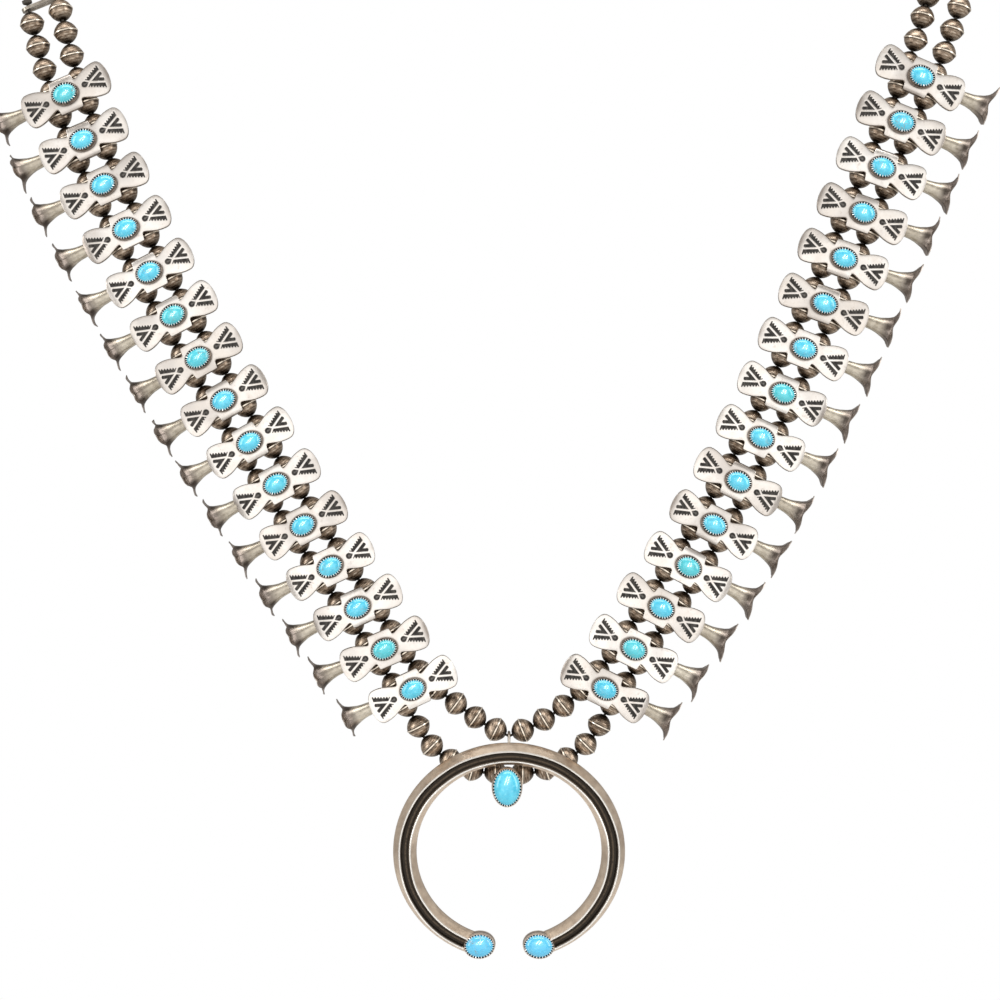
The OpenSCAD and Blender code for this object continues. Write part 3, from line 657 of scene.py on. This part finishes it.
class Look:
    """A finish: a material with its nodes."""

    def __init__(self, name):
        self.material = bpy.data.materials.new(name)
        self.material.use_nodes = True
        self.tree = self.material.node_tree
        self.tree.nodes.clear()

    def node(self, kind, settings=None, values=None, output=None):
        """A node of this kind: its settings, then the values or links of its sockets by name."""
        made = self.tree.nodes.new(kind)
        for name, setting in (settings or {}).items():
            if name == "stops":
                stops = made.color_ramp.elements
                stops.remove(stops[1])
                stops[0].position, stops[0].color = setting[0][0], (*setting[0][1], 1)
                for place, colour in setting[1:]:
                    stops.new(place).color = (*colour, 1)
            else:
                setattr(made, name, setting)
        for name, value in (values or {}).items():
            socket = next(s for s in made.inputs if s.enabled and name in (s.identifier, s.name))
            value = value.socket if isinstance(value, Value) else value
            if isinstance(value, bpy.types.NodeSocket):
                self.tree.links.new(value, socket)
            elif socket.type == "RGBA" and len(value) == 3:
                socket.default_value = (*value, 1)
            else:
                socket.default_value = value
        return next(s for s in made.outputs if s.enabled and output in (None, s.name))

    def place(self):
        """The three numbers of a point's place on its own piece, in millimetres."""
        vector = self.node("ShaderNodeAttribute", {"attribute_name": "place"}, output="Vector")
        axes = [self.node("ShaderNodeSeparateXYZ", None, {"Vector": vector}, axis) for axis in "XYZ"]
        return [Value(self, axis) for axis in axes]

    def tone(self):
        return Value(self, self.node("ShaderNodeAttribute", {"attribute_name": "tone"}, output="Fac"))

    def noise(self, size, detail=2.0, rough=0.5, stretch=None, own=False):
        """Cloudy noise whose clouds are about this many millimetres wide, over the object, or over
        each piece's own place, which is kept in millimetres."""
        if own:
            spot, size = self.node("ShaderNodeAttribute", {"attribute_name": "place"}, output="Vector"), size * 1000.0
        else:
            spot = self.node("ShaderNodeTexCoord", output="Object")
        if stretch:
            spot = self.node("ShaderNodeVectorMath", {"operation": "MULTIPLY"},
                             {"Vector": spot, "Vector_001": stretch})
        return Value(self, self.node("ShaderNodeTexNoise", None, {
            "Vector": spot, "Scale": 1000.0 / size, "Detail": detail, "Roughness": rough}, "Fac"))

    def blend(self, share, a, b):
        """Colour a where the share is 0 and b where it is 1."""
        return self.node("ShaderNodeMix", {"data_type": "RGBA"}, {"Factor": share, "A": a, "B": b}, "Result")

    def bump(self, height, strength=0.5, depth=0.1):
        """A normal from a height in tenths, over a depth in millimetres."""
        return self.node("ShaderNodeBump", None, {"Height": height, "Strength": strength, "Distance": depth * MM})

    def finish(self, **values):
        """Ends the material in one surface with these values, underscores standing for spaces."""
        surface = self.node("ShaderNodeBsdfPrincipled", None,
                            {name.replace("_", " "): value for name, value in values.items()})
        out = self.tree.nodes.new("ShaderNodeOutputMaterial")
        self.tree.links.new(surface, out.inputs["Surface"])
        return self


def bead_silver():
    """Antiqued domes with painted shade that darkens them towards the bore, streaks and fine lines round them, a
    bright seam.
    """
    look = Look("antiqued bead silver")
    far = abs(look.place()[2])
    cloud = look.noise(1.8, 3.0, 0.6)
    streak = look.noise(3.0, 3.0, 0.65, (1.0, 1.0, 9.0), own=True)
    colour = look.blend(part(cloud + look.tone() * 0.14, 0.3, 0.7), (0.21, 0.15, 0.106), (0.48, 0.372, 0.278))
    colour = look.blend(part(streak, 0.5, 0.62) * 0.85, colour, (0.075, 0.051, 0.035))
    colour = look.blend((1 - part(streak, 0.38, 0.47)) * 0.7, colour, (0.76, 0.66, 0.54))
    # Painted shade: the domes darken towards the bore.
    colour = look.blend(part(far, 1.4, 2.5) * 0.9, colour, (0.035, 0.025, 0.018))
    beside = part(far, 0.18, 0.22) * (1 - part(far, 0.34, 0.6))
    colour = look.blend(beside * 0.8, colour, (0.045, 0.035, 0.027))
    seam = 1 - part(far, 0.16, 0.2)
    colour = look.blend(seam, colour, (0.95, 0.84, 0.7))
    return look.finish(Base_Color=colour, Metallic=1.0,
                       Roughness=0.31 + cloud * 0.14 - seam * 0.06,
                       Normal=look.bump(streak, 0.25, 0.08))


def plate_silver():
    """Polished sheet, slightly mottled, with blackened stamps, painted shade and dark reflections on the
    rim, near the edges and on the bent ends, and a darker foot round the bezel, partly oxide and
    partly painted shade."""
    look = Look("stamped plate silver")
    x, y, deep = look.place()
    flip = part(x, -0.01, 0.01) * 2 - 1
    edge = part(deep, 0.1, 0.2)
    shade = part(deep, 0.01, 0.1)
    mark = stamps(abs(x), y * flip, 0.07) * (1 - edge)
    tone = look.tone()
    cloud = look.noise(3.5, 3.0, 0.55)
    patch = look.noise(7.0, 2.0, 0.5)
    fleck = look.noise(1.1, 4.0, 0.7)
    scratch = look.noise(0.6, 2.0, 0.5, (1.0, 1.0, 0.25))
    base = look.blend(part(cloud + tone * 0.1, 0.25, 0.65), (0.76, 0.7, 0.64), (0.93, 0.895, 0.85))
    base = look.blend(part(patch - tone * 0.06, 0.5, 0.72) * 0.6, base, (0.52, 0.47, 0.43))
    base = look.blend(part(fleck, 0.57, 0.72) * 0.5, base, (0.5, 0.42, 0.36))
    # Painted shade and dark reflection near the edges and on the bent ends, in patches.
    base = look.blend(shade * part(patch - tone * 0.1, 0.3, 0.62) * 0.8, base, (0.36, 0.31, 0.27))
    # A darker foot round the bezel: oxide in the corner and painted shade.
    around = (x / 3.85) ** 2 + (y / 3.15) ** 2
    base = look.blend((1 - part(around, 0.7, 1.0)) * 0.6, base, (0.22, 0.18, 0.15))
    # Painted shade and dark reflection on the plate's rim.
    base = look.blend(edge * 0.8, base, (0.3, 0.255, 0.215))
    black = look.blend(part(scratch, 0.42, 0.7), (0.02, 0.0175, 0.015), (0.075, 0.067, 0.058))
    return look.finish(Base_Color=look.blend(mark, base, black), Metallic=1 - mark * 0.6,
                       Roughness=0.27 + cloud * 0.1 + mark * 0.3,
                       Normal=look.bump(scratch, 0.12, 0.03))


def bezel_silver(name, dull, worn):
    """A browned wall, dark where it meets the plate from oxide and painted shade, dark between the teeth, with bright
    tips.
    """
    look = Look(name)
    _, out, high = look.place()
    cloud = look.noise(0.9, 3.0, 0.6)
    colour = look.blend(part(cloud, 0.3, 0.7), dull, worn)
    front = part(high, -2.4, -2.2)
    # Oxide and painted shade at the foot of the wall, where it meets the plate.
    colour = look.blend((1 - part(high, -1.7, -1.1)) * front * 0.8, colour, (0.06, 0.047, 0.038))
    gaps = (1 - part(out, 0.17, 0.27)) * front
    colour = look.blend(gaps, colour, (0.03, 0.024, 0.02))
    colour = look.blend(gaps * part(high, -0.3, -0.2), colour, (1.0, 0.99, 0.97))
    return look.finish(Base_Color=colour, Metallic=1.0, Roughness=0.3 + cloud * 0.15,
                       Normal=look.bump(cloud, 0.2, 0.06))


def trumpet_silver():
    """Satin tube, browned petals painted darker as shade where they bend away, a dark crease at the foot of each and
    between them, partly oxide and partly painted shade, and worn bright edges.
    """
    look = Look("trumpet silver")
    _, turn, out = look.place()
    cloud = look.noise(1.3, 3.0, 0.6)
    fine = look.noise(0.3, 2.0, 0.5, (1.0, 1.0, 0.3))
    tube = look.blend(part(cloud + look.tone() * 0.1, 0.15, 0.85), (0.36, 0.31, 0.24), (0.74, 0.68, 0.57))
    # Painted shade: the petals, which bend away, are darker than the tube, over their own browned tone.
    petal = look.blend(part(cloud, 0.2, 0.8), (0.18, 0.142, 0.118), (0.58, 0.5, 0.445))
    colour = look.blend(part(out, 0.08, 0.3), tube, petal)
    # Dark crease at the foot of each petal and between the petals: partly oxide, partly painted shade.
    uneven = most(part(turn, 0.3, 0.8), part(cloud, 0.3, 0.7) * 0.8)
    crease = part(out, 0.14, 0.24) * (1 - part(out, 0.32, 0.52)) * uneven
    crease = most(crease, (1 - part(turn, 0.02, 0.09)) * part(out, 0.2, 0.35) * 0.7)
    colour = look.blend(crease * 0.85, colour, (0.04, 0.03, 0.023))
    colour = look.blend(part(out, 0.93, 0.99) * 0.6, colour, (0.66, 0.6, 0.53))
    return look.finish(Base_Color=colour, Metallic=1.0,
                       Roughness=0.27 + cloud * 0.14 + fine * 0.06,
                       Normal=look.bump(fine * 0.5 + cloud * 0.5, 0.25, 0.05))


def satin_silver():
    """Plain satin metal for wires, links, tabs and the clasp."""
    look = Look("satin silver")
    cloud = look.noise(1.5, 3.0, 0.6)
    fine = look.noise(0.25, 2.0, 0.5)
    colour = look.blend(part(cloud, 0.3, 0.7), (0.3, 0.26, 0.215), (0.56, 0.51, 0.44))
    return look.finish(Base_Color=colour, Metallic=1.0, Roughness=0.28 + cloud * 0.14,
                       Normal=look.bump(fine, 0.2, 0.04))


def band_silver():
    """The crescent: satin flanks, painted shade low on the upright edges and the back, bright ridges, and a blackened
    channel with worn lines.
    """
    look = Look("crescent silver")
    across, high, _ = look.place()
    cloud = look.noise(2.2, 4.0, 0.6)
    fine = look.noise(0.5, 3.0, 0.6)
    colour = look.blend(part(cloud, 0.25, 0.75), (0.66, 0.525, 0.405), (0.9, 0.76, 0.61))
    colour = look.blend(part(fine, 0.6, 0.75) * 0.3, colour, (0.3, 0.235, 0.185))
    channel = (1 - part(abs(across), 0.98, 1.12)) * part(high, 0.2, 0.6)
    line = (1 - part(abs(across + 0.12), 0.1, 0.3)) * part(fine, 0.3, 0.5)
    black = look.blend(line * 0.45, (0.036, 0.027, 0.019), (0.24, 0.175, 0.115))
    black = look.blend(part(-across, 0.55, 0.95) * 0.6, black, (0.2, 0.15, 0.105))
    ridge = part(high, 2.95, 3.15) * (1 - channel)
    # Painted shade low on the band's upright edges and over its back.
    colour = look.blend((1 - part(high, 0.3, 0.9)) * 0.6, colour, (0.25, 0.195, 0.15))
    colour = look.blend(ridge, colour, (1.0, 0.96, 0.9))
    colour = look.blend(channel, colour, black)
    return look.finish(Base_Color=colour, Metallic=1 - channel * 0.4,
                       Roughness=0.27 + cloud * 0.14 + channel * 0.25,
                       Normal=look.bump(fine * 0.5 + cloud * 0.5, 0.25, 0.06))


def turquoise():
    """Polished sky blue stone: soft clouds, a greener cast in some and a bluer one in the crescent's
    stones, and thin brown matrix."""
    look = Look("turquoise")
    tone = look.tone()
    cloud = look.noise(2.4, 3.0, 0.6)
    spot = look.noise(0.8, 2.0, 0.6)
    vein = abs(look.noise(3.2, 4.0, 0.65) - 0.5)
    colour = look.blend(part(cloud, 0.3, 0.7), (0.035, 0.35, 0.5), (0.09, 0.5, 0.64))
    colour = look.blend(part(tone, 0.65, 1.0) * 0.6, colour, (0.05, 0.41, 0.4))
    colour = look.blend(part(-tone, 0.3, 0.7) * 0.8, colour, (0.075, 0.4, 0.63))
    colour = look.blend(part(spot, 0.56, 0.7) * 0.35, colour, (0.22, 0.58, 0.66))
    matrix = (1 - part(vein, 0.004, 0.02)) * part(look.noise(5.0), 0.55, 0.68)
    colour = look.blend(matrix * 0.7, colour, (0.2, 0.15, 0.09))
    return look.finish(Base_Color=colour, Metallic=0.0, Roughness=0.16 + spot * 0.06 + matrix * 0.2,
                       IOR=1.6, Coat_Weight=0.5, Coat_Roughness=0.04,
                       Normal=look.bump(cloud, 0.05, 0.05))


def thread_fibre():
    """Dark twisted stringing cord."""
    look = Look("stringing cord")
    fine = look.noise(0.3, 3.0, 0.6)
    colour = look.blend(fine, (0.02, 0.017, 0.014), (0.09, 0.075, 0.06))
    return look.finish(Base_Color=colour, Metallic=0.0, Roughness=0.8, Normal=look.bump(fine, 0.6, 0.1))


def floor_look():
    look = Look("pale floor")
    cloud = look.noise(400.0, 2.0, 0.5)
    colour = look.blend(cloud, (0.84, 0.84, 0.835), (0.88, 0.88, 0.875))
    return look.finish(Base_Color=colour, Metallic=0.0, Roughness=0.6)


beaded, plated = bead_silver(), plate_silver()
bezelled = bezel_silver("bezel silver", (0.14, 0.108, 0.088), (0.34, 0.285, 0.24))
cupped = bezel_silver("cup silver", (0.62, 0.52, 0.43), (0.92, 0.8, 0.69))
fluted, plain, banded = trumpet_silver(), satin_silver(), band_silver()
stone, cord = turquoise(), thread_fibre()

# The strands

for number, side in enumerate(SIDES):
    beads(f"outer_beads_{side}", outer[side], bead_places(OUTER_START, OUTER_LOW), 11 + number, [beaded])
    beads(f"inner_beads_{side}", inner[side], bead_places(INNER_START, INNER_LOW, inner[side]),
          21 + number, [beaded])

for number, side in enumerate(SIDES):
    random = np.random.default_rng(31 + number)
    stones = Silversmith()
    for k in range(BLOSSOMS):
        places = [(strand, tab_place(start, low, k)) for strand, start, low in
                  ((inner[side], INNER_START, INNER_LOW), (outer[side], OUTER_START, OUTER_LOW))]
        ends = [strand.at(s) for strand, s in places]
        middle = (ends[0] + ends[1]) / 2
        away = ends[1] - ends[0]
        fall = math.degrees(math.atan2(-away[2], abs(away[0]))) + plate_turn(side, k)
        # The upper blossoms are worn less bright than the lower ones and carry more of the plates' painted shade.
        tone = random.uniform(-1, 1) - k / BLOSSOMS
        work = Silversmith()
        work.add(*plate(side, middle, fall, random), tone=tone, finish=0)
        points, faces, place = rim_of_teeth(STONE_LENGTH, STONE_WIDTH, 0, BEZEL_HEIGHT, BLOSSOM_TEETH, random)
        work.add(on_arm(points + [0, 0, PLATE_FRONT - BEZEL_SUNK], side, middle, fall), faces, place, tone, 1)
        points, faces, place = trumpet(TRUMPET_ROLLS[side][k], random)
        work.add(on_arm(points, side, middle, fall), faces, place, tone, 2)
        for (strand, s), end in zip(places, ends):
            points, faces, place = tab(end, strand.along(s))
            work.add(points, faces, place, tone, 3)
        name = f"blossom_{side}_{k + 1:02d}"
        work.made(name, [plated, bezelled, fluted, plain], nodes=[name], slot="polished_silver")
        points, faces = cabochon(STONE_LENGTH, STONE_WIDTH, STONE_GAP, STONE_HEIGHT)
        stones.add(on_arm(points + [0, 0, PLATE_FRONT], side, middle, fall), faces, points, random.uniform(0, 1))
    stones.made(f"blossom_stones_{side}", [stone], nodes=[f"blossom_stones_{side}"], slot="turquoise", sharp=60)

# The pendant and the drop

random = np.random.default_rng(51)
work = Silversmith()
points, faces, place = band()
work.add(standing(points, 0, CRESCENT_Z), faces, place, finish=0)
for number, side in enumerate((-1, 1)):
    points, faces, place = rim_of_teeth(TIP_STONE[0], TIP_STONE[1], CUP_RISE, BAND_EDGE + CUP_FLOOR + CUP_WALL,
                                        TIP_TEETH, random, base=BAND_EDGE + CUP_FLOOR - CUP_RISE)
    work.add(standing(in_cup(points, side), 0, CRESCENT_Z), faces, place, finish=1)
    tip = Silversmith()
    points, faces = cabochon(TIP_STONE[0], TIP_STONE[1], BAND_EDGE + CUP_FLOOR + STONE_GAP, TIP_STONE[2] - STONE_GAP)
    tip.add(standing(in_cup(points, side), 0, CRESCENT_Z), faces, points, -1)
    name = f"naja_stone_{SIDES[number]}"
    tip.made(name, [stone], "crescent", [name], "turquoise", 60)
work.add(*ring(*RING), finish=2)
work.made("naja", [banded, cupped, plain], "crescent", ["naja"], "satin_silver", 30)

work = Silversmith()
points, faces, place = rim_of_teeth(DROP_STONE[0], DROP_STONE[1], 0.0, CUP_FLOOR + CUP_WALL, DROP_TEETH, random,
                                    base=CUP_FLOOR)
work.add(standing(points, DROP_SHIFT, DROP_Z), faces, place, finish=0)
work.add(*ring(*DROP_RING), finish=1)
work.made("drop_setting", [cupped, plain], nodes=["drop_setting"], slot="satin_silver")
work = Silversmith()
points, faces = cabochon(DROP_STONE[0], DROP_STONE[1], CUP_FLOOR + STONE_GAP, DROP_STONE[2] - STONE_GAP)
work.add(standing(points, DROP_SHIFT, DROP_Z), faces, points, 0.15)
work.made("drop_stone", [stone], nodes=["drop_stone"], slot="turquoise", sharp=60)

# Links, clasp and threads keep their own shapes
for name in ("strand_link_left", "strand_link_right", "clasp", "outer_thread", "inner_thread"):
    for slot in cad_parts[name].material_slots:
        slot.material = (cord if "thread" in name else plain).material

# The studio: a pale floor, a bright room and soft lights

FLOOR_REACH, FLOOR_HEIGHT = 0.6, -0.46
corners = [(x * FLOOR_REACH, y * FLOOR_REACH, FLOOR_HEIGHT) for x, y in ((-1, -1), (1, -1), (1, 1), (-1, 1))]
floor = bpy.data.meshes.new("floor")
floor.from_pydata(corners, [], [(0, 1, 2, 3)])
floor.materials.append(floor_look().material)
floor = bpy.data.objects.new("floor", floor)
bpy.context.scene.collection.objects.link(floor)


def soft_light(name, place, target, size, power, turn=0.0):
    """A soft light of this width and height, aimed at its target and turned in its own plane."""
    lamp = bpy.data.lights.new(name, "AREA")
    lamp.shape, lamp.size, lamp.size_y, lamp.energy = "RECTANGLE", size[0], size[1], power
    holder = bpy.data.objects.new(name, lamp)
    holder.location = place
    aim = (Vector(target) - Vector(place)).to_track_quat("-Z", "Y")
    holder.rotation_euler = (aim @ Quaternion((0, 0, 1), math.radians(turn))).to_euler()
    bpy.context.scene.collection.objects.link(holder)
    return holder


soft_light("front panel", (0, -1.25, -0.24), (0, 0, -0.24), (1.5, 1.14), 5.0)
soft_light("top light", (0, -0.4, 0.8), (0, -0.07, -0.15), (1.1, 0.4), 6)
soft_light("left light", (-0.9, -0.5, 0.1), (0, -0.07, -0.15), (0.35, 0.9), 4)
soft_light("right light", (0.9, -0.5, 0.1), (0, -0.07, -0.15), (0.35, 0.9), 4)

# Two narrow panels over the viewer's shoulder leave the fine pair of glints on every stone.
for name, x, pieces in (("left", -0.2, ["blossom_stones_left"]), ("right", 0.2, ["blossom_stones_right"]),
                        ("middle", 0.0, ["naja_stone_left", "naja_stone_right", "drop_stone"])):
    polished = bpy.data.collections.new(f"{name} stones")
    for piece in pieces:
        polished.objects.link(MADE[piece])
    for number in (0, 1):
        across = x - 0.03 + 0.2 * number
        soft_light(f"{name} glint {number + 1}", (across, -1.0, 0.12), (across, 0, 0.05),
                   (0.045, 0.7), 2.8, turn=-25).light_linking.receiver_collection = polished

world = bpy.data.worlds.new("bright room")
bpy.context.scene.world = world
world.use_nodes = True
room = world.node_tree
room.nodes.clear()
rays = room.nodes.new("ShaderNodeLightPath")
walls, seen = room.nodes.new("ShaderNodeBackground"), room.nodes.new("ShaderNodeBackground")
walls.inputs["Color"].default_value = (1.0, 0.975, 0.945, 1)
walls.inputs["Strength"].default_value = 0.42
seen.inputs["Color"].default_value = (1, 1, 1, 1)
seen.inputs["Strength"].default_value = 1.0
mix = room.nodes.new("ShaderNodeMixShader")
out = room.nodes.new("ShaderNodeOutputWorld")
room.links.new(rays.outputs["Is Camera Ray"], mix.inputs["Fac"])
room.links.new(walls.outputs["Background"], mix.inputs[1])
room.links.new(seen.outputs["Background"], mix.inputs[2])
room.links.new(mix.outputs["Shader"], out.inputs["Surface"])

camera = bpy.data.cameras.new("camera")
camera.sensor_width, camera.lens = 36.0, 74.9
camera.clip_start, camera.clip_end = 0.01, 20
holder = bpy.data.objects.new("camera", camera)
holder.location = (-0.00225, -0.59, -0.165)
holder.rotation_euler = (math.pi / 2, 0, 0)
bpy.context.scene.collection.objects.link(holder)
bpy.context.scene.camera = holder
bpy.context.scene.view_settings.view_transform = "Standard"
bpy.context.scene.view_settings.look = "None"
